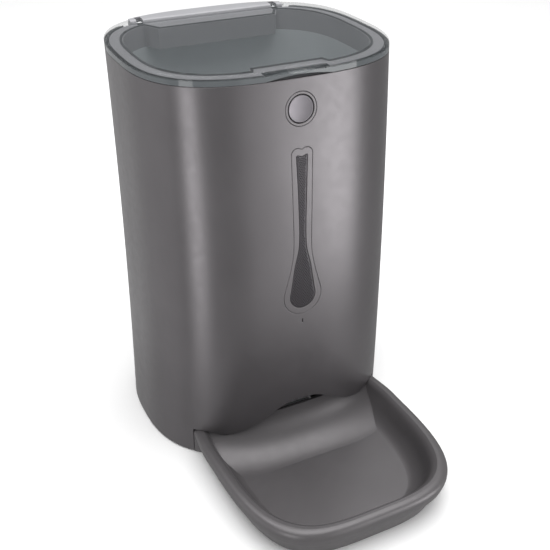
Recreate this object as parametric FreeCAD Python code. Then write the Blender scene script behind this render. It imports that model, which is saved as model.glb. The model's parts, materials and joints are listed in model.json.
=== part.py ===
import FreeCAD, Part
import math
import os

from FreeCAD import Placement, Rotation, Vector

# Automatic pet feeder. Millimetres, +Z up, the front faces -Y, +X is the object's left-right
# axis. The origin is on the table, within 2 mm of the point under the whole box's middle.

# ---- driving dimensions -------------------------------------------------------------------
HEIGHT = 310.0                      # table to the lid's top face
HALF_WIDTH = (104.0, 101.0, 100.0)  # casing outline at the foot, at mid height and at the top
HALF_DEPTH = (87.0, 86.0, 84.4)
CENTRE_Y = (52.0, 56.0, 68.0)       # the casing leans back a little as it rises
SQUARENESS = (2.55, 2.75, 2.95)     # superellipse exponent: 2 is an ellipse, more is squarer
OUTLINE_POINTS = 40
WALL = 2.5
FIT_GAP = 0.2                       # hairline between two fixed trim pieces

CASING_FOOT_Z = 1.2
CASING_TOP_Z = 303.0
LID_FOOT_Z = 303.3
LID_PLATE = 2.4
LID_SKIRT = 2.2
LID_EDGE_R = 2.0
COLLAR_TOP_Z = 306.8
COLLAR_FOOT_Z = 291.0
COLLAR_INSET = 3.6                  # leaves room for the lid's skirt to swing
MOUTH_INSET = 13.0                  # casing outline to the hopper's mouth
MOUTH_REAR_Y = 132.5

HINGE_Y, HINGE_Z = 140.5, 306.2
HINGE_BARREL_R = 3.8
HINGE_BLOCK_HALF = 65.5
HINGE_PIN_R = 1.6
LUG_X = (55.8, 60.2)
LID_OPEN_GAP = 4.6                  # hinge axis to the lid's rear cut edge

TRAY_HALF = 83.2                    # inside the casing
TRAY_FRONT_HALF = 85.8              # ahead of the casing the tray widens to this
TRAY_FRONT_Y = -155.4
TRAY_BEND_Y = -34.0                 # where it is widest, and the rounded front begins
TRAY_SQUARENESS = 3.7
TRAY_NECK_Y = -9.0
TRAY_RIM_Z = 22.9                   # at the casing
TRAY_RIM_SLOPE = 0.05               # the rim rises a little towards the front
TRAY_FOOT_Z = 0.6
TRAY_FLOOR = 2.4
RIM_WIDTH = 10.5
RAMP_LIP_Z = 33.4
RAMP_INSET = 5.5
RAMP_LENGTH = 33.0
RAMP_WALL = 2.4
CUTOUT_HALF = 83.7

BUTTON_Z = 282.0
BUTTON_R = 9.5
BUTTON_GAP = 0.5
BUTTON_RING_R = 12.0
RING_FLANGE_R = 14.5

ROTOR_Y, ROTOR_Z = 36.0, 110.0
ROTOR_R = 30.4
DRUM_R = 31.0
DRUM_WALL = 2.2
DRUM_HALF = 29.0
SHAFT_R = 4.0
BUSH_R = 6.5
RUNNING_GAP = 0.06                  # radial play of a shaft or pin in its hole
GEAR_MODULE = 1.25
TOOTH_ROOT, TOOTH_TIP = 1.3, 0.85   # below and above the pitch circle, in modules
TOOTH_SHARES = (0.29, 0.10)         # half a tooth at its root and at its tip, in tooth steps
ROTOR_TEETH = 36
PINION_TEETH = 12
GEAR_X = (37.0, 43.0)
GEAR_MESH_ANGLE = -30.0             # direction from the rotor's axis to the pinion's, from +Y
OUTPUT_SHAFT_R = 2.5

THROAT_Z = 144.0
FUNNEL_TOP_Z = 196.0
CHUTE_HALF = 27.0
CHUTE_WALL = 2.0
CHUTE_TIP_Y, CHUTE_TIP_Z = -25.0, 35.9
CHUTE_SLOPE = 0.575

BAY_HALF = 53.0                     # three D cells lie side by side
BAY_FRONT_Y, BAY_REAR_Y = 54.0, 120.5
BAY_TOP_Z = 40.0
BAY_WALL = 2.0
DOOR_HINGE_Y, DOOR_HINGE_Z = 57.2, 3.6
DOOR_LUGS = (-47.5, -26.5, 26.5, 47.5)
DOOR_PIN_R, DOOR_PIN_HALF = 1.0, 49.5
PLATE_TOP_Z = 4.2
JACK_Z = 60.0
BOARD_Y = (100.0, 101.6)
BOARD_HOLES = ((-44.0, 52.0), (-44.0, 112.0), (44.0, 52.0), (44.0, 112.0))
BOARD_SCREW_R = 1.6

BASE_SCREWS = ((-88.0, 20.0), (88.0, 20.0), (-70.0, 112.0), (70.0, 112.0))
FEET = ((-74.0, 32.0), (74.0, 32.0), (-74.0, 92.0), (74.0, 92.0))


# ---- small helpers ------------------------------------------------------------------------
def box(x0, x1, y0, y1, z0, z1):
    return Part.makeBox(x1 - x0, y1 - y0, z1 - z0, Vector(x0, y0, z0))


def mirrored_box(x0, x1, y0, y1, z0, z1):
    """The same box on both sides of the middle."""
    return box(x0, x1, y0, y1, z0, z1).fuse(box(-x1, -x0, y0, y1, z0, z1))


def rod_x(r, x0, x1, y, z):
    return Part.makeCylinder(r, x1 - x0, Vector(x0, y, z), Vector(1, 0, 0))


def rod_y(r, x, y0, y1, z):
    return Part.makeCylinder(r, y1 - y0, Vector(x, y0, z), Vector(0, 1, 0))


def rod_z(r, x, y, z0, z1):
    return Part.makeCylinder(r, z1 - z0, Vector(x, y, z0), Vector(0, 0, 1))


def fuse(shapes):
    joined, *rest = shapes
    for shape in rest:
        joined = joined.fuse(shape)
    return joined


def prism_x(points, x0, x1):
    """A side profile of (y, z) points, made solid from x0 to x1."""
    corners = [Vector(x0, y, z) for y, z in points]
    face = Part.Face(Part.makePolygon(corners + corners[:1]))
    return face.extrude(Vector(x1 - x0, 0, 0))


def prism_z(points, z0, z1):
    """A plan of (x, y) points, made solid from z0 to z1."""
    corners = [Vector(x, y, z0) for x, y in points]
    face = Part.Face(Part.makePolygon(corners + corners[:1]))
    return face.extrude(Vector(0, 0, z1 - z0))


def smooth(points):
    curve = Part.BSplineCurve()
    curve.interpolate(points)
    return curve.toShape()


def at_height(values, z):
    """Quadratic through a value at the foot, at mid height and at the top."""
    t = 2.0 * z / HEIGHT
    foot, middle, top = values
    slope = -1.5 * foot + 2 * middle - 0.5 * top
    curve = 0.5 * foot - middle + 0.5 * top
    return foot + slope * t + curve * t * t


# ---- the casing's outline -----------------------------------------------------------------
def superellipse(a, b, n, centre_y, z):
    points = []
    for i in range(OUTLINE_POINTS):
        t = 2 * math.pi * i / OUTLINE_POINTS
        r = (abs(math.cos(t) / a) ** n + abs(math.sin(t) / b) ** n) ** (-1 / n)
        points.append(Vector(r * math.cos(t), centre_y + r * math.sin(t), z))
    curve = Part.BSplineCurve()
    curve.interpolate(points, PeriodicFlag=True)
    return Part.Wire(curve.toShape())


def outline(z, inset=0.0, z_shape=None):
    """The casing's outline at height z, moved inwards. z_shape takes another height's shape."""
    at = z if z_shape is None else z_shape
    a = at_height(HALF_WIDTH, at) - inset
    b = at_height(HALF_DEPTH, at) - inset
    return superellipse(a, b, at_height(SQUARENESS, at), at_height(CENTRE_Y, at), z)


def front_y(z):
    return at_height(CENTRE_Y, z) - at_height(HALF_DEPTH, z)


BODIES = {}


def body(inset):
    """The whole casing's volume, moved inwards by inset."""
    if inset not in BODIES:
        heights = [HEIGHT * i / 3 for i in range(4)]
        BODIES[inset] = Part.makeLoft([outline(z, inset) for z in heights], True)
    return BODIES[inset].copy()


def layer(inset, z0, z1):
    """The casing's volume between two heights, moved inwards by inset."""
    return body(inset).common(box(-130, 130, -60, 180, z0, z1))


# ---- outlines in the front face -----------------------------------------------------------
def casing_front_edge(x):
    """Height of the casing's lower edge over the tray: a low arch, with a dip at each side."""
    side_z, dip_z, arch_z = 23.4, 20.4, 44.0
    arch = (arch_z - dip_z) * math.exp(-((abs(x) / 37.0) ** 2.4))
    side = (side_z - dip_z) / (1 + math.exp(-(abs(x) - 68.5) / 1.8))
    return dip_z + arch + side


def under_edge(drop, half, top=None):
    """Everything in front and below the casing's lower front edge, lowered by drop."""
    count = 24
    xs = [half * (2 * i / count - 1) for i in range(count + 1)]
    edge = smooth([Vector(x, -60, casing_front_edge(x) - drop) for x in xs])
    corners = [Vector(half, -60, -10), Vector(-half, -60, -10)]
    sides = Part.makePolygon([edge.Vertexes[-1].Point] + corners + [edge.Vertexes[0].Point])
    prism = Part.Face(Part.Wire([edge] + sides.Edges)).extrude(Vector(0, 90, 0))
    return prism if top is None else prism.common(box(-130, 130, -70, 60, -10, top))


def spoon(half_top, half_neck, neck_z, flare, bulb_r, top_z, corner, notch_half):
    """The inlay's outline: a long neck, a round bulb, and a shallow V notch in its top edge."""
    join = math.radians(20)
    bulb_z, notch = 139.2, 1.3
    bulb = Vector(bulb_r * math.cos(join), 0, bulb_z + bulb_r * math.sin(join))
    shoulder = Vector(half_top, 0, top_z - corner)
    upper_neck = Vector(half_neck + 0.2, 0, neck_z + 34)
    neck = Vector(half_neck, 0, neck_z)
    swell = Vector(half_neck + flare * (bulb.x - half_neck), 0, bulb.z + 0.55 * (neck_z - bulb.z))
    round_end = half_top - corner
    mid_corner = Vector(round_end + corner * 0.707, 0, top_z - corner * 0.293)
    half = [
        smooth([shoulder, upper_neck, neck, swell, bulb]),
        Part.Arc(shoulder, mid_corner, Vector(round_end, 0, top_z)).toShape(),
        Part.makeLine(Vector(notch_half, 0, top_z), Vector(0, 0, top_z - notch)),
    ]
    if round_end - notch_half > 0.01:
        half.append(Part.makeLine(Vector(round_end, 0, top_z), Vector(notch_half, 0, top_z)))
    other = [edge.mirror(Vector(0, 0, 0), Vector(1, 0, 0)) for edge in half]
    left_bulb = Vector(-bulb.x, 0, bulb.z)
    bottom = Part.Arc(bulb, Vector(0, 0, bulb_z - bulb_r), left_bulb).toShape()
    face = Part.Face(Part.Wire(Part.__sortEdges__(half + [bottom] + other)))
    face.translate(Vector(0, -60, 0))
    return face.extrude(Vector(0, 70, 0))


def inlay_prism(grow):
    return spoon(8.3 + grow, 7.4 + grow, 177.0, 0.34, 15.6 + grow, 254.8 + grow, 4.6, 2.4)


def insert_prism(grow):
    return spoon(4.4 + grow, 2.9 + grow, 181.0, 0.52, 10.5 + grow, 249.6 + grow, 1.0, 3.4 + grow)


def button_place():
    """The button's own axes: its +Y points into the casing, square to the leaning front."""
    rise = 1.0
    tilt = math.degrees(math.atan2(front_y(BUTTON_Z + rise) - front_y(BUTTON_Z - rise), 2 * rise))
    return Placement(Vector(0, front_y(BUTTON_Z), BUTTON_Z), Rotation(Vector(1, 0, 0), -tilt))


def on_button_axis(shape):
    moved = shape.copy()
    moved.Placement = button_place().multiply(moved.Placement)
    return moved


def button_disc(r, depth0, depth1):
    return on_button_axis(rod_y(r, 0, depth0, depth1, 0))


# ---- casing and top -----------------------------------------------------------------------
def screw_bosses():
    """Four posts inside the casing's foot, each tied to the wall by a web."""
    bosses = []
    for x, y in BASE_SCREWS:
        side = math.copysign(1, x)
        web = box(min(x, x + side * 25), max(x, x + side * 25), y - 1.2, y + 1.2, PLATE_TOP_Z, 26)
        post = rod_z(4.5, x, y, PLATE_TOP_Z, 26).fuse(web)
        bosses.append(post.common(layer(WALL - 0.5, 0, 40)).cut(rod_z(1.3, x, y, 0, 20)))
    return bosses


def outer_housing():
    shell = layer(0, CASING_FOOT_Z, CASING_TOP_Z).cut(layer(WALL, 0, HEIGHT))
    shell = fuse([shell] + screw_bosses())
    shell = shell.cut(under_edge(0, CUTOUT_HALF))
    shell = shell.cut(button_disc(BUTTON_RING_R + FIT_GAP, -5, 8))
    shell = shell.cut(inlay_prism(FIT_GAP))
    mic_slit = box(-0.45, 0.45, -60, 0, 115.4, 118.6)
    jack_hole = rod_y(7.0, 0, 125, 160, JACK_Z)
    for room in [mic_slit, jack_hole] + lug_slots():
        shell = shell.cut(room)
    return shell


def mouth(grow, z0, z1):
    """The hopper's mouth in plan: the casing's outline inset, less a front shelf and a rear ledge."""
    opening = layer(MOUTH_INSET - grow, z0, z1)
    opening = opening.common(box(-130, 130, -60, MOUTH_REAR_Y + grow, z0, z1))
    front = -12.0
    shelf = [(-34 + grow, front), (-28 + grow, 3.5 - grow), (28 - grow, 3.5 - grow), (34 - grow, front)]
    rear = MOUTH_REAR_Y + 8
    ledge = [(-62 + grow, rear), (-50 + grow, 118 + grow), (50 - grow, 118 + grow), (62 - grow, rear)]
    return opening.cut(prism_z(shelf, z0 - 1, z1 + 1)).cut(prism_z(ledge, z0 - 1, z1 + 1))


def hinge_block():
    """The fixed strip behind the lid: two outer knuckles and a long middle one."""
    half = HINGE_BLOCK_HALF
    barrel = rod_x(HINGE_BARREL_R, -half, half, HINGE_Y, HINGE_Z)
    back = box(-half, half, HINGE_Y, 180, CASING_TOP_Z, HEIGHT).common(body(0))
    front_foot = box(-half, half, HINGE_Y - HINGE_BARREL_R, HINGE_Y, CASING_TOP_Z - 2, HINGE_Z)
    casing_wall = layer(0, COLLAR_FOOT_Z, CASING_TOP_Z).cut(body(WALL))
    return fuse([barrel, back, front_foot]).cut(casing_wall)


def lug_slots():
    """Room round the lid's two hinge lugs, open upwards for the lug necks."""
    reach = HINGE_BARREL_R + 0.8
    slots = []
    for side in (-1, 1):
        x0, x1 = sorted((side * (LUG_X[0] - 0.4), side * (LUG_X[1] + 0.4)))
        slot = box(x0, x1, HINGE_Y - 9, HINGE_Y + reach, HINGE_Z - 1, HEIGHT + 1)
        slots.append(slot.fuse(rod_x(reach, x0, x1, HINGE_Y, HINGE_Z)))
    return slots


def pin_holes(r):
    holes = []
    for side in (-1, 1):
        x0, x1 = sorted((side * 52.5, side * 64.0))
        holes.append(rod_x(r, x0, x1, HINGE_Y, HINGE_Z))
    return holes


def top_collar():
    ahead_of_hinge = box(-130, 130, -60, HINGE_Y - HINGE_BARREL_R, 0, HEIGHT)
    raised = layer(COLLAR_INSET, CASING_TOP_Z, COLLAR_TOP_Z).common(ahead_of_hinge)
    finger_well = box(-25, 25, -60, -7.6, CASING_TOP_Z - 0.4, HEIGHT)
    button_room = button_disc(RING_FLANGE_R + 0.5, -5, 14)
    ring = layer(WALL, COLLAR_FOOT_Z, CASING_TOP_Z).fuse(raised)
    for room in (mouth(0, COLLAR_FOOT_Z - 1, HEIGHT), finger_well, button_room):
        ring = ring.cut(room)
    ring = ring.fuse(hinge_block())
    for room in lug_slots() + pin_holes(HINGE_PIN_R):
        ring = ring.cut(room)
    return ring


def lid_hinge_pins():
    return Part.makeCompound(pin_holes(HINGE_PIN_R))


def lid_lugs():
    lugs = []
    for side in (-1, 1):
        x0, x1 = sorted((side * LUG_X[0], side * LUG_X[1]))
        neck = box(x0, x1, HINGE_Y - 5.6, HINGE_Y, HINGE_Z - 0.5, HINGE_Z + 3.0)
        lug = rod_x(3.4, x0, x1, HINGE_Y, HINGE_Z).fuse(neck)
        lugs.append(lug)
    return lugs


def lid():
    blank = layer(0, LID_FOOT_Z, HEIGHT)
    rim = [edge for edge in blank.Edges if edge.BoundBox.ZMin > HEIGHT - 0.001]
    blank = blank.makeFillet(LID_EDGE_R, rim)
    hollow = layer(LID_SKIRT, LID_FOOT_Z - 1, HEIGHT - LID_PLATE)
    finger_block = box(-24, 24, -60, -8.2, LID_FOOT_Z - 1, HEIGHT)
    cover = blank.cut(hollow.cut(finger_block))
    cut_y = HINGE_Y - LID_OPEN_GAP
    half = HINGE_BLOCK_HALF + 0.6
    cover = cover.cut(box(-half, half, cut_y, 180, 290, HEIGHT + 1))
    slant = [(cut_y - 1.1, HEIGHT + 0.1), (cut_y + 1, HEIGHT + 0.1), (cut_y + 1, HEIGHT - 2)]
    cover = cover.cut(prism_x(slant, -half, half))
    cover = cover.cut(box(-130, 130, HINGE_Y + 1.6, 180, 290, HEIGHT + 1))
    cover = cover.cut(box(-130, 130, HINGE_Y - 3.6, 180, 290, HEIGHT - LID_PLATE))
    scoop = Part.makeSphere(67.5, Vector(0, -45.6, HEIGHT + 57.4))
    cover = cover.cut(scoop)
    lift_r = 143.0
    finger_gap = rod_y(lift_r, 0, -60, -7, LID_FOOT_Z + 2.2 - lift_r)
    cover = cover.cut(finger_gap.common(box(-40, 40, -60, 0, LID_FOOT_Z - 1, HEIGHT)))
    cover = fuse([cover] + lid_lugs())
    for hole in pin_holes(HINGE_PIN_R + RUNNING_GAP):
        cover = cover.cut(hole)
    return cover


def lid_seal():
    z0, z1 = COLLAR_TOP_Z + 0.3, HEIGHT - LID_PLATE
    return mouth(2.2, z0, z1).cut(mouth(0.6, z0 - 1, z1 + 1))


# ---- front trim ---------------------------------------------------------------------------
def button_ring():
    ring = body(0).cut(body(WALL)).common(button_disc(BUTTON_RING_R, -5, 8))
    flange = body(WALL).cut(body(WALL + 1.2)).common(button_disc(RING_FLANGE_R, -2, 8))
    return ring.fuse(flange).cut(button_disc(BUTTON_R + BUTTON_GAP, -6, 10))


def feed_button():
    cap = rod_y(BUTTON_R, 0, 0.1, WALL + 0.9, 0)
    dish = Part.makeSphere(60.0, Vector(0, -59.2, 0))
    stem = rod_y(3.0, 0, WALL + 0.9, 5.0, 0)
    flange = rod_y(BUTTON_R + 1.6, 0, WALL + 1.6, WALL + 2.5, 0)
    base = rod_y(BUTTON_R, 0, WALL, WALL + 1.8, 0)
    return on_button_axis(fuse([cap.cut(dish), base, flange, stem]))


def button_board():
    return on_button_axis(box(-14, 14, 9.4, 10.6, -6, 6))


def tact_switch():
    case = box(-3, 3, 6.7, 9.4, -3, 3)
    return on_button_axis(case.fuse(rod_y(1.7, 0, 6.1, 6.7, 0)))


def front_inlay():
    panel = body(0).cut(body(WALL)).common(inlay_prism(0))
    flange = body(WALL).cut(body(WALL + 1.2)).common(inlay_prism(2.5))
    return panel.fuse(flange).cut(insert_prism(0.12))


def speaker_grille():
    return body(0.3).cut(body(WALL + 1.2)).common(insert_prism(0))


def speaker_gasket():
    ring = rod_y(14.0, 0, -40, -24.0, 139.4).cut(rod_y(12.0, 0, -41, -20, 139.4))
    return ring.common(body(WALL + 1.2))


def speaker():
    frame = rod_y(14.0, 0, -24.0, -22.5, 139.4)
    cone = Part.makeCone(13.0, 8.0, 6.0, Vector(0, -22.5, 139.4), Vector(0, 1, 0))
    magnet = rod_y(9.5, 0, -16.5, -11.0, 139.4)
    return fuse([frame, cone, magnet])


def microphone():
    return rod_y(3.0, 0, front_y(117) + WALL + 0.3, front_y(117) + WALL + 3.0, 117)


# ---- food path ----------------------------------------------------------------------------
def throat(grow, z):
    return superellipse(29.4 + grow, 26.4 + grow, 4.0, ROTOR_Y, z)


def bucket(inset, grow):
    """The hopper's outer or inner volume: straight above, a funnel below."""
    upper = layer(inset, FUNNEL_TOP_Z, COLLAR_FOOT_Z)
    funnel = Part.makeLoft([throat(grow, THROAT_Z), outline(FUNNEL_TOP_Z, inset)], True, True)
    return upper.fuse(funnel)


def hopper():
    shell = bucket(MOUTH_INSET - 2.0, 2.0).cut(bucket(MOUTH_INSET, 0.0))
    bore = Part.makeLoft([throat(0, THROAT_Z - 1), throat(0, THROAT_Z + 1)], True, True)
    return shell.cut(bore).cut(layer(MOUTH_INSET, COLLAR_FOOT_Z - 1, COLLAR_FOOT_Z + 1))


def rotor_housing():
    outer = rod_x(DRUM_R + DRUM_WALL, -DRUM_HALF - DRUM_WALL, DRUM_HALF + DRUM_WALL, ROTOR_Y, ROTOR_Z)
    neck = Part.makeLoft([throat(3.0, ROTOR_Z + 4), throat(3.0, THROAT_Z)], True, True)
    neck_bore = Part.makeLoft([throat(0, ROTOR_Z + 2), throat(0, THROAT_Z + 1)], True, True)
    drum_bore = rod_x(DRUM_R, -DRUM_HALF, DRUM_HALF, ROTOR_Y, ROTOR_Z)
    outlet = box(-CHUTE_HALF, CHUTE_HALF, ROTOR_Y - 28, ROTOR_Y + 8, 60, ROTOR_Z)
    bush_holes = rod_x(BUSH_R, -50, 50, ROTOR_Y, ROTOR_Z)
    return outer.fuse(neck).cut(neck_bore).cut(drum_bore).cut(outlet).cut(bush_holes)


def shaft_bushes():
    bushes = []
    for side in (-1, 1):
        x0, x1 = sorted((side * DRUM_HALF, side * (DRUM_HALF + 4.0)))
        bush = rod_x(BUSH_R, x0, x1, ROTOR_Y, ROTOR_Z)
        bushes.append(bush.cut(rod_x(SHAFT_R + RUNNING_GAP, x0, x1, ROTOR_Y, ROTOR_Z)))
    return Part.makeCompound(bushes)


def rotor():
    """Soft portioning wheel: six vanes on a hub."""
    half = DRUM_HALF - 0.5
    vanes = []
    for i in range(6):
        vane = box(-half, half, 6, ROTOR_R, -1.3, 1.3)
        vane.rotate(Vector(0, 0, 0), Vector(1, 0, 0), 60 * i + 30)
        vanes.append(vane)
    wheel = fuse([rod_x(8.5, -half, half, 0, 0)] + vanes)
    wheel = wheel.common(rod_x(ROTOR_R, -half, half, 0, 0)).cut(rod_x(SHAFT_R, -half - 1, half + 1, 0, 0))
    wheel.translate(Vector(0, ROTOR_Y, ROTOR_Z))
    return wheel


def rotor_shaft():
    return rod_x(SHAFT_R, -35.0, GEAR_X[1] + 1.5, ROTOR_Y, ROTOR_Z)


def gear(teeth, bore, first_tooth_deg):
    """A spur gear about X through the origin, with straight-flanked teeth and some backlash."""
    pitch_r = GEAR_MODULE * teeth / 2
    root_r, tip_r = pitch_r - TOOTH_ROOT * GEAR_MODULE, pitch_r + TOOTH_TIP * GEAR_MODULE
    at_root, at_tip = TOOTH_SHARES
    step = 2 * math.pi / teeth
    points = []
    for i in range(teeth):
        middle = math.radians(first_tooth_deg) + i * step
        for r, share in ((root_r, -at_root), (tip_r, -at_tip), (tip_r, at_tip), (root_r, at_root)):
            turn = middle + share * step
            points.append((r * math.cos(turn), r * math.sin(turn)))
    wheel = prism_x(points, GEAR_X[0], GEAR_X[1])
    return wheel.cut(rod_x(bore, GEAR_X[0] - 1, GEAR_X[1] + 1, 0, 0))


def pinion_centre():
    distance = GEAR_MODULE * (ROTOR_TEETH + PINION_TEETH) / 2
    angle = math.radians(GEAR_MESH_ANGLE)
    return ROTOR_Y + distance * math.cos(angle), ROTOR_Z + distance * math.sin(angle)


def rotor_gear():
    wheel = gear(ROTOR_TEETH, SHAFT_R, GEAR_MESH_ANGLE)
    wheel.translate(Vector(0, ROTOR_Y, ROTOR_Z))
    return wheel


def drive_pinion():
    half_step = 180.0 / PINION_TEETH
    wheel = gear(PINION_TEETH, OUTPUT_SHAFT_R, GEAR_MESH_ANGLE + 180 + half_step)
    wheel.translate(Vector(0, *pinion_centre()))
    return wheel


def output_shaft():
    return rod_x(OUTPUT_SHAFT_R, GEAR_X[0], 52.0, *pinion_centre())


def gearbox():
    y, z = pinion_centre()
    case = box(46, 64, y - 15, y + 20, z - 14, z + 14)
    ears = box(46, 49, y + 20, y + 30, z - 8, z + 8)
    plate = box(DRUM_HALF + DRUM_WALL, 49, y + 22, y + 30, z - 8, z - 5.5)
    case = fuse([case, ears, plate])
    return case.cut(rod_x(OUTPUT_SHAFT_R + RUNNING_GAP, 45, 53, y, z))


def motor():
    y, z = pinion_centre()
    can = rod_x(12.0, 64, 88, y + 4, z)
    return fuse([can, rod_x(4.0, 88, 90.5, y + 4, z)])


def motor_screws():
    y, z = pinion_centre()
    screws = []
    for dy, dz in ((-12, -11), (-12, 11), (17.5, -11), (17.5, 11)):
        screws.append(rod_x(2.2, 64, 65.6, y + dy, z + dz))
    return Part.makeCompound(screws)


def chute_floor_z(y):
    return CHUTE_TIP_Z + (y - CHUTE_TIP_Y) * CHUTE_SLOPE


def chute():
    """Sloping duct from the drum's outlet to the arch over the tray."""
    rear, front = ROTOR_Y + 10, front_y(52) + WALL + 0.5
    under = [(CHUTE_TIP_Y, chute_floor_z(CHUTE_TIP_Y) - 2.0), (rear, chute_floor_z(rear) - 2.0)]
    outer = under + [(rear, 90), (ROTOR_Y, ROTOR_Z), (2, 97.6), (front, 59.6), (front, 46.5)]
    inner = [(-60, chute_floor_z(-60)), (rear - 2, chute_floor_z(rear - 2)), (rear - 2, ROTOR_Z)]
    inner += [(2, 94.4), (front - 2, 54.0), (-60, 54.0)]
    duct = prism_x(outer, -CHUTE_HALF - CHUTE_WALL, CHUTE_HALF + CHUTE_WALL)
    duct = duct.cut(prism_x(inner, -CHUTE_HALF, CHUTE_HALF))
    duct = duct.cut(rod_x(DRUM_R + DRUM_WALL + FIT_GAP, -60, 60, ROTOR_Y, ROTOR_Z))
    return duct.common(body(WALL + 0.3))


def level_sensors():
    """Infrared pair facing each other across the drum's neck."""
    pair = []
    for side in (-1, 1):
        x0, x1 = sorted((side * 32.7, side * 36.0))
        pair.append(rod_x(2.5, x0, x1, ROTOR_Y, 139.0))
    return Part.makeCompound(pair)


# ---- tray ---------------------------------------------------------------------------------
def tray_outline(z, inset):
    """The tray in plan, moved inwards by inset: a neck that widens into a squarish rounded front.

    The section at the floor is level, and the ones above it tilt up towards the front.
    """
    a, b = TRAY_FRONT_HALF - inset, TRAY_BEND_Y - TRAY_FRONT_Y - inset
    floor_z = TRAY_FOOT_Z + TRAY_FLOOR
    slope = TRAY_RIM_SLOPE * max(z - floor_z, 0) / (TRAY_RIM_Z - floor_z)

    def place(x, y):
        return Vector(x, y, z + slope * (TRAY_NECK_Y - y))

    straight_y, rear = 2.0, 30.0
    neck = TRAY_HALF - inset
    count = 20
    front = []
    for i in range(count + 1):
        t = math.pi * i / count
        r = abs(math.cos(t) / a) ** TRAY_SQUARENESS + abs(math.sin(t) / b) ** TRAY_SQUARENESS
        r **= -1 / TRAY_SQUARENESS
        front.append(place(r * math.cos(t), TRAY_BEND_Y - r * math.sin(t)))
    right = [place(neck, straight_y), place(neck, TRAY_NECK_Y)]
    left = [place(-neck, TRAY_NECK_Y), place(-neck, straight_y)]
    curve = Part.BSplineCurve()
    forwards, backwards = Vector(0, -1, slope), Vector(0, 1, -slope)
    curve.interpolate(right + front + left, InitialTangent=forwards, FinalTangent=backwards)
    back = Part.makePolygon([left[-1], place(-neck, rear), place(neck, rear), right[0]])
    return Part.Wire([curve.toShape()] + back.Edges)


def tray_loft(steps):
    return Part.makeLoft([tray_outline(z, inset) for z, inset in steps], True, False)


def ramp(extra):
    """Everything behind the rear ramp: a hollow quarter-round that rises from the floor to the lip."""
    rise = RAMP_LIP_Z + 2.0 - TRAY_FOOT_Z - TRAY_FLOOR
    wires = []
    for i in range(6):
        angle = math.pi / 2 * i / 5
        z = TRAY_FOOT_Z + TRAY_FLOOR + rise * (1 - math.cos(angle))
        run = RAMP_LENGTH * (1 - math.sin(angle))
        wires.append(outline(z, RAMP_INSET - run + extra, 10.0))
    return Part.makeLoft(wires, True, False)


def food_tray():
    under_steps = ((TRAY_FOOT_Z, 9.0), (7.0, 6.2), (12.0, 3.8), (15.0, 2.6))
    face_steps = ((14.0, 1.3), (16.5, 0.4), (19.0, 0.0))
    rim_steps = face_steps + ((20.6, 0.35), (21.8, 1.4), (22.6, 3.0), (TRAY_RIM_Z, 4.8))
    outer = tray_loft(under_steps).fuse(tray_loft(rim_steps))
    floor_z = TRAY_FOOT_Z + TRAY_FLOOR
    bowl_steps = ((floor_z, 24.0), (floor_z + 3, 17.5), (12.0, 13.4), (18.5, RIM_WIDTH + 0.8))
    brim_steps = ((21.3, RIM_WIDTH - 0.9), (22.5, RIM_WIDTH - 2.6), (TRAY_RIM_Z + 1, RIM_WIDTH - 6.2))
    hollow = tray_loft(bowl_steps + brim_steps)
    tray = outer.cut(hollow)
    ramp_shell = ramp(0).cut(ramp(RAMP_WALL))
    ramp_shell = ramp_shell.common(box(-TRAY_HALF + 8, TRAY_HALF - 8, -80, 30, floor_z - 0.6, RAMP_LIP_Z))
    ramp_shell = ramp_shell.common(under_edge(1.5, 75.5))
    plinth = layer(0, TRAY_FOOT_Z, 17.0).cut(layer(WALL, 0, 40)).common(
        box(-TRAY_HALF, TRAY_HALF, -60, 0, 0, 30))
    tray = fuse([tray, ramp_shell, plinth])
    tray = tray.cut(layer(RAMP_INSET + RAMP_WALL, -1, 40))
    tongues = mirrored_box(32, 48, -30, 24, TRAY_FOOT_Z, 3.0)
    return tray.fuse(tongues)


# ---- base ---------------------------------------------------------------------------------
def door_knuckles(r):
    return [rod_x(r, x0, x1, DOOR_HINGE_Y, DOOR_HINGE_Z) for x0, x1 in ((-45, -29), (29, 45))]


def base_plate():
    front = 9.0
    plate = layer(WALL + 0.2, CASING_FOOT_Z, PLATE_TOP_Z).common(box(-130, 130, front, 180, 0, 10))
    riser = box(-80, 80, front, front + 2.4, CASING_FOOT_Z, 30)
    guides = mirrored_box(29, 51, front, 28, CASING_FOOT_Z, 6.4)
    bay_half = BAY_HALF + BAY_WALL
    bay_front, bay_rear = BAY_FRONT_Y - BAY_WALL, BAY_REAR_Y + BAY_WALL
    bay_outer = box(-bay_half, bay_half, bay_front, bay_rear, CASING_FOOT_Z, BAY_TOP_Z + BAY_WALL)
    posts = [box(x0, x1, 96, BOARD_Y[0], BAY_TOP_Z, 118) for x0, x1 in ((-48, -40), (40, 48))]
    plate = fuse([plate, riser, guides, bay_outer] + posts)
    plate = plate.cut(box(-BAY_HALF, BAY_HALF, BAY_FRONT_Y, BAY_REAR_Y, 0, BAY_TOP_Z))
    plate = plate.cut(mirrored_box(31.4, 48.6, 0, 26, 0, 3.6))
    for x, y in BASE_SCREWS:
        plate = plate.cut(rod_z(1.7, x, y, 0, 10)).cut(rod_z(3.3, x, y, 0, 2.8))
    lugs = []
    for x in DOOR_LUGS:
        lugs.append(box(x - 2, x + 2, BAY_FRONT_Y - 1, DOOR_HINGE_Y + 1.9, CASING_FOOT_Z, DOOR_HINGE_Z + 3))
    plate = fuse([plate] + lugs)
    return plate.cut(battery_door_pin())


def rubber_feet():
    return Part.makeCompound([rod_z(8.0, x, y, 0, CASING_FOOT_Z) for x, y in FEET])


def base_screws():
    screws = []
    for x, y in BASE_SCREWS:
        screws.append(rod_z(3.0, x, y, 1.4, 2.8).fuse(rod_z(1.3, x, y, 2.8, 16)))
    return Part.makeCompound(screws)


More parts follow.
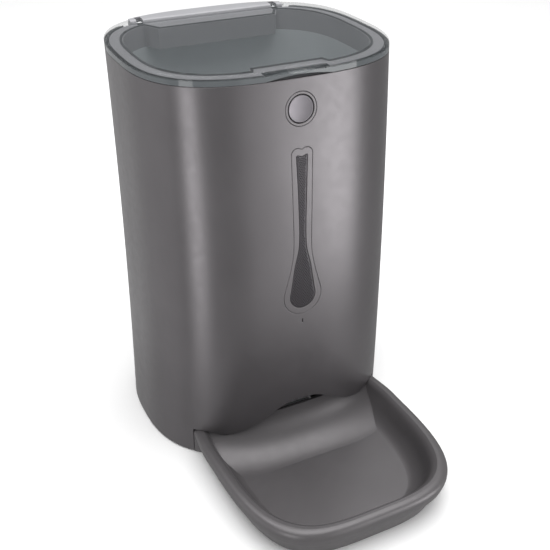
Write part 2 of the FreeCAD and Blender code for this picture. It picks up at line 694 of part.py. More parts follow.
def battery_door():
    panel = box(-BAY_HALF + 0.5, BAY_HALF - 0.5, DOOR_HINGE_Y - 1.0, BAY_REAR_Y - 0.5, CASING_FOOT_Z, 3.2)
    for x in DOOR_LUGS:
        panel = panel.cut(box(x - 2.5, x + 2.5, DOOR_HINGE_Y - 3, DOOR_HINGE_Y + 4.2, 0, 10))
    latch = box(-8, 8, BAY_REAR_Y - 2.1, BAY_REAR_Y - 0.6, 3.2, 10)
    ribs = []
    for x in (-36, -18, 0, 18, 36):
        ribs.append(box(x - 0.8, x + 0.8, DOOR_HINGE_Y + 6, BAY_REAR_Y - 6, 3.2, 4.6))
    door = fuse([panel, latch] + door_knuckles(2.4) + ribs)
    reach = DOOR_PIN_HALF + 0.5
    return door.cut(rod_x(DOOR_PIN_R + RUNNING_GAP, -reach, reach, DOOR_HINGE_Y, DOOR_HINGE_Z))


def battery_door_pin():
    return rod_x(DOOR_PIN_R, -DOOR_PIN_HALF, DOOR_PIN_HALF, DOOR_HINGE_Y, DOOR_HINGE_Z)


def coil(r, pitch, height, wire_r):
    helix = Part.makeHelix(pitch, height, r)
    profile = Part.Wire(Part.makeCircle(wire_r, Vector(r, 0, 0), Vector(0, 1, 0)))
    return Part.Wire(helix).makePipeShell([profile], True, True)


def battery_contacts():
    """A plate at each end of each cell, with a spring on the negative one."""
    pieces = []
    for column in (-1, 0, 1):
        x, z = column * 34.5, 21.0
        pieces.append(box(x - 8, x + 8, BAY_REAR_Y - 0.5, BAY_REAR_Y, z - 8, z + 8))
        plate = box(x - 8, x + 8, BAY_FRONT_Y, BAY_FRONT_Y + 0.5, z - 8, z + 8)
        spring = coil(5.0, 1.6, 4.8, 0.45)
        spring.rotate(Vector(0, 0, 0), Vector(1, 0, 0), -90)
        spring.translate(Vector(x, BAY_FRONT_Y + 0.7, z))
        pieces.append(plate.fuse(spring))
    return Part.makeCompound(pieces)


# ---- electronics --------------------------------------------------------------------------
def main_board():
    board = box(-52, 52, BOARD_Y[0], BOARD_Y[1], 46, 118)
    for x, z in BOARD_HOLES:
        board = board.cut(rod_y(BOARD_SCREW_R, x, BOARD_Y[0], BOARD_Y[1], z))
    return board


def board_parts():
    back = BOARD_Y[1]
    radio = box(-30, -12, back, back + 3.0, 88, 112)
    controller = box(8, 18, back, back + 1.6, 84, 94)
    relay = box(24, 36, back, back + 14.4, 60, 74)
    sockets = [box(-8, 4, back, back + 6.4, 52, 58), box(-34, -22, back, back + 6.4, 56, 62)]
    capacitors = [rod_y(4.0, x, back, back + 10.4, 76) for x in (-6, 6)]
    return Part.makeCompound([radio, controller, relay] + sockets + capacitors)


def board_screws():
    screws = []
    for x, z in BOARD_HOLES:
        head = rod_y(2.8, x, BOARD_Y[1], BOARD_Y[1] + 1.8, z)
        screws.append(head.fuse(rod_y(BOARD_SCREW_R, x, BOARD_Y[0], BOARD_Y[1], z)))
    return Part.makeCompound(screws)


def dc_jack():
    bezel = body(0).cut(body(WALL)).common(rod_y(6.8, 0, 120, 160, JACK_Z))
    case = box(-7, 7, 122, 150, JACK_Z - 6, JACK_Z + 6).common(body(WALL))
    socket = rod_y(3.0, 0, 128, 160, JACK_Z)
    pin = rod_y(1.0, 0, 127, 136, JACK_Z)
    return bezel.fuse(case).cut(socket).fuse(pin)


NODES = (
    outer_housing, top_collar, lid_hinge_pins, lid, lid_seal, button_ring, feed_button, button_board,
    tact_switch, front_inlay, speaker_grille, speaker_gasket, speaker, microphone, hopper, rotor_housing,
    shaft_bushes, rotor, rotor_shaft, rotor_gear, drive_pinion, output_shaft, gearbox, motor, motor_screws,
    chute, level_sensors, food_tray, base_plate, rubber_feet, base_screws, battery_door, battery_door_pin,
    battery_contacts, main_board, board_parts, board_screws, dc_jack,
)


def main():
    os.makedirs("parts", exist_ok=True)
    for make in NODES:
        shape = make()
        state = "valid" if shape.isValid() else "NOT VALID"
        print(make.__name__, state, len(shape.Solids), "solids,", round(shape.Volume / 1000, 2), "cm3")
        shape.exportStep(os.path.join("parts", make.__name__ + ".step"))


main()
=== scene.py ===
"""Looks of the automatic pet feeder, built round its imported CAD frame.

The shapes are worked out in the CAD's millimetres and put down in metres.
"""

import json
import math

import bpy
import numpy as np
from mathutils import Matrix, Vector
from mathutils.geometry import delaunay_2d_cdt
from mathutils.kdtree import KDTree

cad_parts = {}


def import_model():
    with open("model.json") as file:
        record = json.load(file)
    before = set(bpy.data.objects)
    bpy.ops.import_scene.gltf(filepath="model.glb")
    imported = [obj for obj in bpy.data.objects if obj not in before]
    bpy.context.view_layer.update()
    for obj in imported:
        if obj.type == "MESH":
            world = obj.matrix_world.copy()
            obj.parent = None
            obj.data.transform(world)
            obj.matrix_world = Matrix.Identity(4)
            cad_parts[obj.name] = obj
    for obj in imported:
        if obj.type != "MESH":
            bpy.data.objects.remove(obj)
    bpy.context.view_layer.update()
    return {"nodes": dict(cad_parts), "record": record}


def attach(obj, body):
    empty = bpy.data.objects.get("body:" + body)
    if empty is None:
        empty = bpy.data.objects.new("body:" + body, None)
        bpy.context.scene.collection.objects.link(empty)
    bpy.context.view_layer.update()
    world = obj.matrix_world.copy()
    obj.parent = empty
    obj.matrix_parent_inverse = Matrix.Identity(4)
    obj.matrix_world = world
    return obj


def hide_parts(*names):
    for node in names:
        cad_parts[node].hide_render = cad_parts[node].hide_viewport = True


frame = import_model()

# ---- driving values ----
MM = 0.001
HEIGHT = 310.0
HALF_WIDTH = (104.0, 101.0, 100.0)  # casing outline at the foot, at mid height and at the top
HALF_DEPTH = (87.0, 86.0, 84.4)
CENTRE_Y = (52.0, 56.0, 68.0)
SQUARENESS = (2.55, 2.75, 2.95)
WALL = 2.5
SEAM = 0.06
CASING_FOOT_Z, CASING_TOP_Z = 1.2, 303.0
CUTOUT_HALF = 83.7
WRAP_R = 96.0                       # turns the angle round the casing into a length
WRAP_START, WRAP_END = -240.0, 120.0  # from the front, in degrees; the join is at the right rear
BUTTON_Z, BUTTON_R, BUTTON_GAP, RING_R = 282.0, 9.5, 0.5, 12.0
JACK_Z, JACK_HOLE_R = 60.0, 7.0
LID_PLATE_Z, LID_SKIRT_Z = 307.5, 306.6
PIT_PITCH, PIT_R, PIT_DEPTH = 1.5, 0.46, 0.7
INSERT_SINK = 0.3                   # how far the insert lies below the inlay
PIT_FLOOR = 0.72                    # a pit's floor, as a share of its mouth's radius
PIT_MARGIN = 0.75                   # clear of the insert's edge
BULB_Z, NOTCH = 139.2, 1.3          # of the spoon-shaped outlines
SLIT_HALF, SLIT_LOW_Z, SLIT_HIGH_Z = 0.3, 115.4, 118.6
ARCH_Z, DIP_Z, SIDE_Z = 44.0, 20.4, 23.4  # the casing's lower edge over the tray
EDGE_R, BEZEL_EDGE_R, INSERT_EDGE_R = 0.4, 0.5, 0.3
RING_SHARES = (0, 0.18, 0.5, 1.0)   # where the rings that carry a rounded edge lie
RING_CLEARANCE = 0.35               # keeps the filling points off those rings
SMALLEST_GAP = 1e-4                 # points closer than this are merged
SHARP_ANGLE = 35                    # degrees

NOISE_LOW, NOISE_HIGH = 0.3, 0.7    # the middle of a noise's range carries the variation

CAMERA_PLACE = Vector((-0.2658, -0.4998, 0.49105))
CAMERA_AZIMUTH, CAMERA_ELEVATION, CAMERA_ROLL = -26.047, 30.001, 0.314
LENS_MM, SENSOR_MM = 56.35, 36.0
SHIFT = (0.0291, -0.0509)
FLOOR_HALF = 1.5
LIGHT_DISTANCE, LIGHT_AIM = 1.2, (0.0, 0.04)
LIGHT_TOP_Z = 0.36
SKY_GREY = 0.37                     # how bright the world is, except to the camera


# ---- materials ----
def principled(name, **sockets):
    material = bpy.data.materials.new(name)
    material.use_nodes = True
    bsdf = material.node_tree.nodes["Principled BSDF"]
    for socket, value in sockets.items():
        bsdf.inputs[socket.replace("_", " ")].default_value = value
    return material


def noise(material, scale, detail=3.0, stretch=(1, 1, 1)):
    """Noise in the piece's own coordinates, so that it stays on the piece when it moves."""
    nodes, links = material.node_tree.nodes, material.node_tree.links
    place = nodes.new("ShaderNodeTexCoord")
    mapping = nodes.new("ShaderNodeMapping")
    mapping.inputs["Scale"].default_value = stretch
    texture = nodes.new("ShaderNodeTexNoise")
    texture.inputs["Scale"].default_value = scale
    texture.inputs["Detail"].default_value = detail
    links.new(place.outputs["Object"], mapping.inputs["Vector"])
    links.new(mapping.outputs["Vector"], texture.inputs["Vector"])
    return texture.outputs["Fac"]


def vary(material, socket, fac, low, high):
    """Drives a colour or number socket between two values by a noise."""
    nodes, links = material.node_tree.nodes, material.node_tree.links
    bsdf = nodes["Principled BSDF"]
    if isinstance(low, (int, float)):
        ramp = nodes.new("ShaderNodeMapRange")
        ramp.inputs["From Min"].default_value = NOISE_LOW
        ramp.inputs["From Max"].default_value = NOISE_HIGH
        ramp.inputs["To Min"].default_value = low
        ramp.inputs["To Max"].default_value = high
        links.new(fac, ramp.inputs["Value"])
        links.new(ramp.outputs["Result"], bsdf.inputs[socket])
        return
    ramp = nodes.new("ShaderNodeValToRGB")
    ramp.color_ramp.elements[0].position = NOISE_LOW
    ramp.color_ramp.elements[0].color = (*low, 1)
    ramp.color_ramp.elements[1].position = NOISE_HIGH
    ramp.color_ramp.elements[1].color = (*high, 1)
    links.new(fac, ramp.inputs["Fac"])
    links.new(ramp.outputs["Color"], bsdf.inputs[socket])


def bump(material, fac, strength, distance):
    nodes, links = material.node_tree.nodes, material.node_tree.links
    node = nodes.new("ShaderNodeBump")
    node.inputs["Strength"].default_value = strength
    node.inputs["Distance"].default_value = distance
    links.new(fac, node.inputs["Height"])
    links.new(node.outputs["Normal"], nodes["Principled BSDF"].inputs["Normal"])


def moulded(name, colour, roughness, grain=1800.0, depth=0.00002, spread=0.06, **sockets):
    """Moulded plastic: a fine grain, a slight drift of colour and of gloss."""
    material = principled(name, **sockets)
    low = tuple(c * (1 - spread) for c in colour)
    high = tuple(c * (1 + spread) for c in colour)
    vary(material, "Base Color", noise(material, 14.0), low, high)
    vary(material, "Roughness", noise(material, 160.0), roughness * 0.92, roughness * 1.08)
    bump(material, noise(material, grain, 2.0), 0.25, depth)
    return material


def see_through(material, plate, skirt, plate_z, skirt_z):
    """Sets the alpha by height: the skirt is seen through more plastic than the flat plate is."""
    nodes, links = material.node_tree.nodes, material.node_tree.links
    place = nodes.new("ShaderNodeTexCoord")
    split = nodes.new("ShaderNodeSeparateXYZ")
    ramp = nodes.new("ShaderNodeMapRange")
    links.new(place.outputs["Object"], split.inputs["Vector"])
    links.new(split.outputs["Z"], ramp.inputs["Value"])
    ramp.inputs["From Min"].default_value = skirt_z * MM
    ramp.inputs["From Max"].default_value = plate_z * MM
    ramp.inputs["To Min"].default_value = skirt
    ramp.inputs["To Max"].default_value = plate
    links.new(ramp.outputs["Result"], nodes["Principled BSDF"].inputs["Alpha"])


MATERIALS = {
    "casing_grey": moulded("casing_grey", (0.147, 0.139, 0.145), 0.33, Metallic=0.75),
    "tray_grey": moulded("tray_grey", (0.116, 0.110, 0.114), 0.40, Metallic=0.45),
    "lid_smoke": moulded("lid_smoke", (0.098, 0.107, 0.113), 0.07, grain=900.0, depth=0.000002),
    "seal_dark": moulded("seal_dark", (0.06, 0.065, 0.07), 0.6),
    "collar_grey": moulded("collar_grey", (0.30, 0.30, 0.316), 0.40),
    "hopper_grey": moulded("hopper_grey", (0.54, 0.575, 0.59), 0.4),
    "button_grey": moulded("button_grey", (0.165, 0.155, 0.168), 0.36, Metallic=0.75),
    "grille_dark": moulded("grille_dark", (0.050, 0.046, 0.051), 0.34, Metallic=0.6),
    "inner_plastic": moulded("inner_plastic", (0.10, 0.10, 0.105), 0.55),
    "rotor_soft": moulded("rotor_soft", (0.55, 0.56, 0.55), 0.5),
    "gear_white": moulded("gear_white", (0.80, 0.79, 0.75), 0.4),
    "steel": moulded("steel", (0.62, 0.62, 0.63), 0.28, Metallic=1.0),
    "spring_steel": moulded("spring_steel", (0.70, 0.70, 0.70), 0.2, Metallic=1.0),
    "motor_can": moulded("motor_can", (0.55, 0.55, 0.56), 0.32, Metallic=1.0),
    "board_green": moulded("board_green", (0.03, 0.22, 0.10), 0.35),
    "chip_black": moulded("chip_black", (0.03, 0.03, 0.03), 0.5),
    "rubber_black": moulded("rubber_black", (0.035, 0.035, 0.035), 0.75),
}

see_through(MATERIALS["lid_smoke"], 0.22, 0.92, LID_PLATE_Z, LID_SKIRT_Z)

for part in frame["record"]["subparts"]:
    node = frame["nodes"][part["node"]]
    node.data.materials.clear()
    node.data.materials.append(MATERIALS[part["material_slot"]])


# ---- the casing's surface and the outlines in it, in millimetres ----
def at_height(values, z):
    """Quadratic through a value at the foot, at mid height and at the top."""
    t = 2.0 * z / HEIGHT
    foot, middle, top = values
    rise = -1.5 * foot + 2 * middle - 0.5 * top
    bend = 0.5 * foot - middle + 0.5 * top
    return foot + rise * t + bend * t * t


def casing_section(z):
    return [at_height(values, z) for values in (HALF_WIDTH, HALF_DEPTH, SQUARENESS, CENTRE_Y)]


def round_the_casing(flat):
    """Places (arc, height) on the casing; the arc is measured from the front's middle."""
    u, z = flat[:, 0], flat[:, 1]
    a, b, n, centre = casing_section(z)
    angle = u / WRAP_R - np.pi / 2
    r = (np.abs(np.cos(angle) / a) ** n + np.abs(np.sin(angle) / b) ** n) ** (-1 / n)
    return np.stack([r * np.cos(angle), centre + r * np.sin(angle), z], -1)


def on_the_front(flat):
    """Places (x, height) on the casing's front half."""
    x, z = flat[:, 0], flat[:, 1]
    a, b, n, centre = casing_section(z)
    y = centre - b * np.maximum(1 - np.abs(x / a) ** n, 0) ** (1 / n)
    return np.stack([x, y, z], -1)


def to_arc(flat):
    """Turns (x, height) on the front into (arc, height)."""
    place = on_the_front(np.array(flat, float))
    aside = place[:, 1] - at_height(CENTRE_Y, place[:, 2])
    return np.stack([(np.arctan2(aside, place[:, 0]) + np.pi / 2) * WRAP_R, place[:, 2]], -1)


def evenly(points, step, closed=True):
    """The same line with points at even steps."""
    points = np.array(points, float)
    if closed:
        points = np.vstack([points, points[:1]])
    run = np.r_[0, np.cumsum(np.hypot(*np.diff(points, axis=0).T))]
    at = np.linspace(0, run[-1], max(int(run[-1] / step), 8) + 1)
    even = np.stack([np.interp(at, run, points[:, k]) for k in (0, 1)], -1)
    return even[:-1] if closed else even


def offset(points, distance, closed=True):
    """The line moved to its left."""
    if closed:
        along = np.roll(points, -1, 0) - np.roll(points, 1, 0)
    else:
        along = np.gradient(points, axis=0)
    left = np.stack([-along[:, 1], along[:, 0]], -1)
    return points + left / np.linalg.norm(left, axis=1)[:, None] * distance


def spline(points, count=120):
    """Smooth curve through points."""
    p = np.array(points, float)
    p = np.vstack([2 * p[0] - p[1], p, 2 * p[-1] - p[-2]])
    knots = np.r_[0, np.cumsum(np.hypot(*np.diff(p, axis=0).T))]
    curve = []
    for t in np.linspace(knots[1], knots[-2], count):
        i = min(max(np.searchsorted(knots, t) - 1, 1), len(p) - 3)
        h = knots[i + 1] - knots[i]
        s = (t - knots[i]) / h
        before = (p[i + 1] - p[i - 1]) / (knots[i + 1] - knots[i - 1]) * h
        after = (p[i + 2] - p[i]) / (knots[i + 2] - knots[i]) * h
        start = (2 * s**3 - 3 * s**2 + 1) * p[i] + (s**3 - 2 * s**2 + s) * before
        curve.append(start + (3 * s**2 - 2 * s**3) * p[i + 1] + (s**3 - s**2) * after)
    return np.array(curve)


def circle(x, z, r, count=96):
    t = np.linspace(0, 2 * np.pi, count, endpoint=False)
    return np.stack([x + r * np.cos(t), z + r * np.sin(t)], -1)


def spoon(half_top, half_neck, neck_z, flare, bulb_r, top_z, corner, notch_half):
    """The inlay's outline: a long neck, a round bulb, and a shallow V notch in its top edge."""
    join = math.radians(20)
    bulb = (bulb_r * math.cos(join), BULB_Z + bulb_r * math.sin(join))
    swell = (half_neck + flare * (bulb[0] - half_neck), bulb[1] + 0.55 * (neck_z - bulb[1]))
    shoulder = (half_top, top_z - corner)
    side = spline([shoulder, (half_neck + 0.2, neck_z + 34), (half_neck, neck_z), swell, bulb])
    turn = np.linspace(join, -np.pi / 2, 40)[1:]
    bottom = np.stack([bulb_r * np.cos(turn), BULB_Z + bulb_r * np.sin(turn)], -1)
    bend = np.linspace(np.pi / 2, 0, 12)[:-1]
    round_end = half_top - corner
    arc = np.stack([round_end + corner * np.cos(bend), top_z - corner + corner * np.sin(bend)], -1)
    right = np.vstack([[(0, top_z - NOTCH), (notch_half, top_z)], arc, side, bottom])
    left = right[::-1][1:-1] * (-1, 1)
    return np.vstack([right, left])[::-1]


def inlay_outline(grow):
    return spoon(8.3 + grow, 7.4 + grow, 177.0, 0.34, 15.6 + grow, 254.8 + grow, 4.6, 2.4)


def insert_outline(grow):
    return spoon(4.4 + grow, 2.9 + grow, 181.0, 0.52, 10.5 + grow, 249.6 + grow, 1.0, 3.4 + grow)


def casing_front_edge(x):
    """Height of the casing's lower edge over the tray: a low arch, with a dip at each side."""
    arch = (ARCH_Z - DIP_Z) * np.exp(-((np.abs(x) / 37.0) ** 2.4))
    return DIP_Z + arch + (SIDE_Z - DIP_Z) / (1 + np.exp(-(np.abs(x) - 68.5) / 1.8))


# ---- mesh building ----
def inside(points, loop):
    """Whether each point lies inside a closed loop."""
    hits = np.zeros(len(points), int)
    a, b = loop, np.roll(loop, -1, 0)
    slab = 4000
    for i in range(0, len(points), slab):
        x, y = points[i:i + slab, 0, None], points[i:i + slab, 1, None]
        crosses = (a[:, 1] > y) != (b[:, 1] > y)
        rise = np.where(np.abs(b[:, 1] - a[:, 1]) < 1e-12, 1e-12, b[:, 1] - a[:, 1])
        reach = (b[:, 0] - a[:, 0]) * (y - a[:, 1]) / rise + a[:, 0]
        hits[i:i + slab] = (crosses & (x < reach)).sum(1)
    return hits % 2 == 1


def nearest(points, lines):
    """Distance from each point to the nearest line point, and the way there."""
    samples = np.vstack(lines)
    tree = KDTree(len(samples))
    for i, (x, y) in enumerate(samples):
        tree.insert((x, y, 0), i)
    tree.balance()
    found = [tree.find((x, y, 0)) for x, y in points]
    gap = np.array([hit[2] for hit in found])
    way = samples[[hit[1] for hit in found]] - points
    return gap, way / np.maximum(gap, 1e-9)[:, None]


def grid(x0, x1, y0, y1, step):
    xs = np.linspace(x0, x1, max(int((x1 - x0) / step), 1) + 1)
    ys = np.linspace(y0, y1, max(int((y1 - y0) / step), 1) + 1)
    return np.stack(np.meshgrid(xs, ys), -1).reshape(-1, 2)


def triangulate(points, chains, keep):
    """Triangles over loose points and fixed chains, where keep(centres) is true."""
    vertices = [Vector(p) for p in points]
    edges = []
    for chain, closed in chains:
        start, count = len(vertices), len(chain)
        vertices += [Vector(p) for p in chain]
        edges += [(start + i, start + i + 1) for i in range(count - 1)]
        if closed:
            edges.append((start + count - 1, start))
    flat, _, faces, *_ = delaunay_2d_cdt(vertices, edges, [], 0, SMALLEST_GAP)
    flat, faces = np.array([tuple(v) for v in flat]), np.array(faces)
    faces = faces[keep(flat[faces].mean(1))]
    used = np.unique(faces)
    renumber = np.full(len(flat), -1)
    renumber[used] = np.arange(len(used))
    return flat[used], renumber[faces]


def rim_of(faces):
    """Directed edges that only one triangle uses."""
    edges = np.concatenate([faces[:, (0, 1)], faces[:, (1, 2)], faces[:, (2, 0)]])
    _, index, count = np.unique(np.sort(edges, 1), axis=0, return_index=True, return_counts=True)
    return edges[index[count == 1]]


def unit(vectors):
    return vectors / np.maximum(np.linalg.norm(vectors, axis=-1), 1e-12)[..., None]


def put_down(name, vertices, polygons, material, body, nodes, corner_normals=None, sharp=None):
    """Makes a piece of millimetre points, rides it on its body and stands it in for CAD nodes."""
    mesh = bpy.data.meshes.new(name)
    mesh.from_pydata((np.asarray(vertices) * MM).tolist(), [], polygons)
    mesh.update()
    mesh.shade_smooth()
    if corner_normals is not None:
        mesh.normals_split_custom_set(corner_normals.tolist())
    elif sharp is not None:
        mesh.set_sharp_from_angle(angle=math.radians(sharp))
    mesh.materials.append(MATERIALS[material])
    piece = bpy.data.objects.new(name, mesh)
    bpy.context.scene.collection.objects.link(piece)
    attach(piece, body)
    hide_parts(*nodes)


def panel(name, place, outer, holes, lines, fill, edge, wall, looks, dent=None, pits=()):
    """A piece of skin with rounded edges: place() puts flat points on the outside surface.

    outer and holes are closed loops. lines are the (loop, closed) edges to round, each with the
    skin on its left. dent() lowers chosen points; pits are loops that outline the dents.
    """
    material, body, nodes = looks

    def keep(points):
        good = inside(points, outer)
        for hole in holes:
            good &= ~inside(points, hole)
        return good

    rings = []
    for line, closed in lines:
        rings += [(offset(line, share * edge, closed), closed) for share in RING_SHARES]
    fill = fill[keep(fill)]
    fill = fill[nearest(fill, [ring for ring, _ in rings])[0] > RING_CLEARANCE]
    chains = rings + [(outer, True)] + [(pit, True) for pit in pits]
    flat, faces = triangulate(fill, chains, keep)

    nudge = 0.01
    across = place(flat + (nudge, 0)) - place(flat - (nudge, 0))
    along = place(flat + (0, nudge)) - place(flat - (0, nudge))
    out = unit(np.cross(across, along))
    gap, way = nearest(flat, [line for line, _ in lines])
    lean = np.clip(1 - gap / edge, 0, 1)
    stand = np.sqrt(1 - lean**2)
    depth = edge * (1 - stand)
    if dent is not None:
        depth = depth + dent(flat)
    surface = place(flat)
    front, back = surface - out * depth[:, None], surface - out * wall

    rim = rim_of(faces)
    side = unit(across) * way[:, :1] + unit(along) * way[:, 1:]
    edge_out = np.cross(surface[rim[:, 1]] - surface[rim[:, 0]], out[rim[:, 0]])
    at_rim = np.zeros_like(surface)
    for k in (0, 1):
        np.add.at(at_rim, rim[:, k], unit(edge_out))
    on_rim = np.abs(at_rim).sum(1) > 0
    side[on_rim] = at_rim[on_rim]
    side = unit(side)
    lit = unit(out * stand[:, None] + side * lean[:, None])

    count = len(front)
    a, b = rim[:, 0], rim[:, 1]
    walls = np.stack([b, a, a + count, b + count], 1)
    polygons = faces.tolist() + (faces[:, ::-1] + count).tolist() + walls.tolist()
    corners = None
    if dent is None:
        corners = np.concatenate([
            lit[faces].reshape(-1, 3), -out[faces[:, ::-1]].reshape(-1, 3),
            side[np.stack([b, a, a, b], 1)].reshape(-1, 3)])
    skin = np.vstack([front, back])
    put_down(name, skin, polygons, material, body, nodes, corners, SHARP_ANGLE)


def lathe(name, profile, axis, looks, count=96):
    """Turns a closed (radius, depth) profile round an axis matrix; it starts and ends on the axis."""
    material, body, nodes = looks
    t = np.linspace(0, 2 * np.pi, count, endpoint=False)
    inner = profile[1:-1]
    rings = [np.stack([r * np.cos(t), np.full(count, d), r * np.sin(t)], -1) for r, d in inner]
    points = np.vstack(rings + [[(0, profile[0][1], 0)], [(0, profile[-1][1], 0)]])
    spin = np.array(axis.to_3x3())
    points = points @ spin.T + np.array(axis.translation)
    first, last = count * len(inner), count * len(inner) + 1
    polygons = []
    for i in range(count):
        j = (i + 1) % count
        polygons.append((first, i, j))
        for k in range(len(inner) - 1):
            near, far = k * count, (k + 1) * count
            polygons.append((near + j, near + i, far + i, far + j))
        end = (len(inner) - 1) * count
        polygons.append((last, end + j, end + i))
    put_down(name, points, polygons, material, body, nodes, sharp=SHARP_ANGLE)


# ---- casing, trim and button ----
def casing():
    half = CUTOUT_HALF
    arc0, arc1 = (math.radians(a) * WRAP_R for a in (WRAP_START, WRAP_END))
    arch = np.stack([np.linspace(-half, half, 200)] * 2, -1)
    arch[:, 1] = casing_front_edge(arch[:, 0])
    foot = to_arc(np.vstack([[(-half, CASING_FOOT_Z)], arch, [(half, CASING_FOOT_Z)]]))
    foot = np.vstack([[(arc0, CASING_FOOT_Z)], foot, [(arc1, CASING_FOOT_Z)]])
    foot = evenly(foot, 1.4, False)
    top = evenly([(arc1, CASING_TOP_Z), (arc0, CASING_TOP_Z)], 3.0, False)
    outer = np.vstack([foot, top])
    inlay = evenly(to_arc(inlay_outline(SEAM)), 1.0)
    ring = to_arc(circle(0, BUTTON_Z, RING_R + SEAM))
    low, high = SLIT_LOW_Z, SLIT_HIGH_Z
    slit = [(-SLIT_HALF, low), (SLIT_HALF, low), (SLIT_HALF, high), (-SLIT_HALF, high)]
    slit = evenly(to_arc(slit), SLIT_HALF)
    jack = circle(-math.pi * WRAP_R, JACK_Z, JACK_HOLE_R, 64)
    holes = [inlay, ring, slit, jack]
    lines = [(foot, False), (top, False)] + [(hole[::-1], True) for hole in holes]
    fill = grid(arc0, arc1, CASING_FOOT_Z, CASING_TOP_Z, 4.4)
    looks = ("casing_grey", "housing", ["outer_housing"])
    panel("casing", round_the_casing, outer, holes, lines, fill, EDGE_R, WALL, looks)


def inlay():
    outer = evenly(inlay_outline(0), 1.0)
    hole = evenly(insert_outline(0.12), 1.0)
    fill = grid(-18, 18, 120, 258, 2.0)
    lines = [(outer, True), (hole[::-1], True)]
    looks = ("casing_grey", "housing", ["front_inlay"])
    panel("front_trim", on_the_front, outer, [hole], lines, fill, EDGE_R, WALL, looks)


def grille():
    """The dark insert: rows of fine pits, staggered, well inside its edge."""
    outer = evenly(insert_outline(0), 1.0)
    centres, row = [], 0
    z = 126.0
    while z < 252:
        shift = PIT_PITCH / 2 * (row % 2)
        centres += [(k * PIT_PITCH + shift, z) for k in range(-9, 9)]
        z, row = z + PIT_PITCH * math.sqrt(3) / 2, row + 1
    centres = np.array(centres)
    centres = centres[inside(centres, outer)]
    centres = centres[nearest(centres, [outer])[0] > PIT_R + PIT_MARGIN]
    pits = [circle(x, z, r, 6) for x, z in centres for r in (PIT_R, PIT_R * PIT_FLOOR)]

    def dent(flat):
        gap, _ = nearest(flat, [centres])
        return np.where(gap < PIT_R * 0.8, PIT_DEPTH, 0.0)

    def recessed(flat):
        place = on_the_front(flat)
        place[:, 1] += INSERT_SINK
        return place

    looks = ("grille_dark", "housing", ["speaker_grille"])
    lines = [(outer, True)]
    panel("grille", recessed, outer, [], lines, centres, INSERT_EDGE_R, WALL, looks, dent, pits)


def button_axis():
    """The button's own axes, in millimetres: +Y points into the casing, square to its front."""
    def front_y(z):
        return at_height(CENTRE_Y, z) - at_height(HALF_DEPTH, z)

    rise = 1.0
    tilt = math.atan2(front_y(BUTTON_Z + rise) - front_y(BUTTON_Z - rise), 2 * rise)
    return Matrix.Translation((0, front_y(BUTTON_Z), BUTTON_Z)) @ Matrix.Rotation(-tilt, 4, "X")


def round_corner(r, depth, radius, start, count=6):
    """Corner points turning from a start angle by a quarter, in (radius, depth)."""
    turns = [math.radians(start + 90 * k / count) for k in range(count + 1)]
    return [(r + radius * math.cos(t), depth + radius * math.sin(t)) for t in turns]


def button():
    dish = [(r, math.sqrt(60.0**2 - r**2) - 59.2) for r in np.linspace(0, 8.6, 12)]
    lip = round_corner(BUTTON_R - 0.45, 0.55, 0.45, -90)
    base = [(BUTTON_R, WALL + 1.6), (BUTTON_R + 1.6, WALL + 1.6), (BUTTON_R + 1.6, WALL + 2.5)]
    stem = [(3.0, WALL + 2.5), (3.0, 5.0), (0, 5.0)]
    looks = ("button_grey", "button", ["feed_button"])
    lathe("button", dish + lip + base + stem, button_axis(), looks)


def ring():
    outer = circle(0, BUTTON_Z, RING_R)
    hole = circle(0, BUTTON_Z, BUTTON_R + BUTTON_GAP)
    fill = circle(0, BUTTON_Z, (RING_R + BUTTON_R + BUTTON_GAP) / 2)
    lines = [(outer, True), (hole[::-1], True)]
    looks = ("casing_grey", "housing", ["button_ring"])
    panel("button_bezel", on_the_front, outer, [hole], lines, fill, BEZEL_EDGE_R, WALL, looks)


casing()
inlay()
grille()
button()
ring()


# ---- stage, light and camera ----
def floor():
    half = FLOOR_HALF
    mesh = bpy.data.meshes.new("floor")
    corners = [(-half, -half, 0), (half, -half, 0), (half, half, 0), (-half, half, 0)]
    mesh.from_pydata(corners, [], [(0, 1, 2, 3)])
    ground = bpy.data.objects.new("floor", mesh)
    bpy.context.scene.collection.objects.link(ground)
    white = moulded("floor_white", (0.90, 0.90, 0.90), 0.6, grain=300.0, spread=0.005)
    mesh.materials.append(white)
    ground.visible_glossy = False
    ground.visible_shadow = False


def panel_light(name, azimuths, foot_z, radiance):
    """A tall light round the object, given by the directions it spans; azimuth 0 is in front."""
    distance = LIGHT_DISTANCE
    left, right = (math.radians(a) for a in azimuths)
    low, high = foot_z, LIGHT_TOP_Z
    middle = (left + right) / 2
    light = bpy.data.lights.new(name, "AREA")
    light.shape = "RECTANGLE"
    light.size = 2 * distance * math.tan((right - left) / 2)
    light.size_y = high - low
    light.energy = radiance * math.pi * light.size * light.size_y
    lamp = bpy.data.objects.new(name, light)
    way = Vector((math.sin(middle), -math.cos(middle), 0))
    lamp.location = Vector((*LIGHT_AIM, (low + high) / 2)) + way * distance
    lamp.rotation_euler = way.to_track_quat("Z", "Y").to_euler()
    lamp.visible_camera = False
    bpy.context.scene.collection.objects.link(lamp)


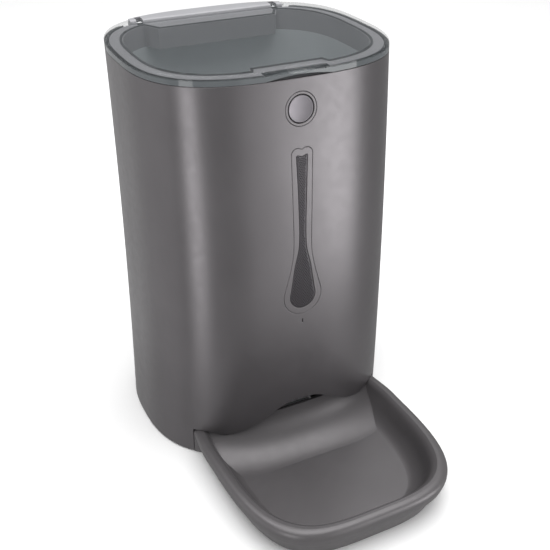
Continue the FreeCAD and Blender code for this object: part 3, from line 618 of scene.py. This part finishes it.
def top_light(size, height, power):
    light = bpy.data.lights.new("top", "AREA")
    light.shape = "SQUARE"
    light.size = size
    light.energy = power
    lamp = bpy.data.objects.new("top", light)
    lamp.location = (0, 0, height)
    lamp.visible_camera = False
    bpy.context.scene.collection.objects.link(lamp)


def camera():
    lens = bpy.data.cameras.new("camera")
    lens.sensor_width = SENSOR_MM
    lens.lens = LENS_MM
    lens.shift_x, lens.shift_y = SHIFT
    lens.clip_start = 0.01
    a, e, k = (math.radians(v) for v in (CAMERA_AZIMUTH, CAMERA_ELEVATION, CAMERA_ROLL))
    back = Vector((math.sin(a) * math.cos(e), -math.cos(a) * math.cos(e), math.sin(e)))
    level = Vector((math.cos(a), math.sin(a), 0))
    right = level * math.cos(k) + back.cross(level) * math.sin(k)
    up = back.cross(right)
    eye = bpy.data.objects.new("camera", lens)
    turn = Matrix((right, up, back)).transposed().to_4x4()
    eye.matrix_world = Matrix.Translation(CAMERA_PLACE) @ turn
    bpy.context.scene.collection.objects.link(eye)
    bpy.context.scene.camera = eye


def world():
    """White behind the object, a softer grey for the light it gives."""
    sky = bpy.data.worlds.new("studio")
    bpy.context.scene.world = sky
    sky.use_nodes = True
    nodes, links = sky.node_tree.nodes, sky.node_tree.links
    path = nodes.new("ShaderNodeLightPath")
    mix = nodes.new("ShaderNodeMapRange")
    mix.inputs["To Min"].default_value = SKY_GREY
    mix.inputs["To Max"].default_value = 1.0
    links.new(path.outputs["Is Camera Ray"], mix.inputs["Value"])
    links.new(mix.outputs["Result"], nodes["Background"].inputs["Strength"])
    nodes["Background"].inputs["Color"].default_value = (1, 1, 1, 1)


floor()
world()
panel_light("left_strip", (-60, -42), -0.55, 3.0)
panel_light("left_near", (-125, -78), -0.8, 0.42)
panel_light("left_far", (-175, -125), -0.8, 0.30)
panel_light("right_dim", (2, 27), -0.5, 0.75)
panel_light("right_key", (27, 52), -0.38, 3.9)
top_light(size=3.0, height=2.2, power=88)
camera()
bpy.context.scene.view_settings.view_transform = "Standard"
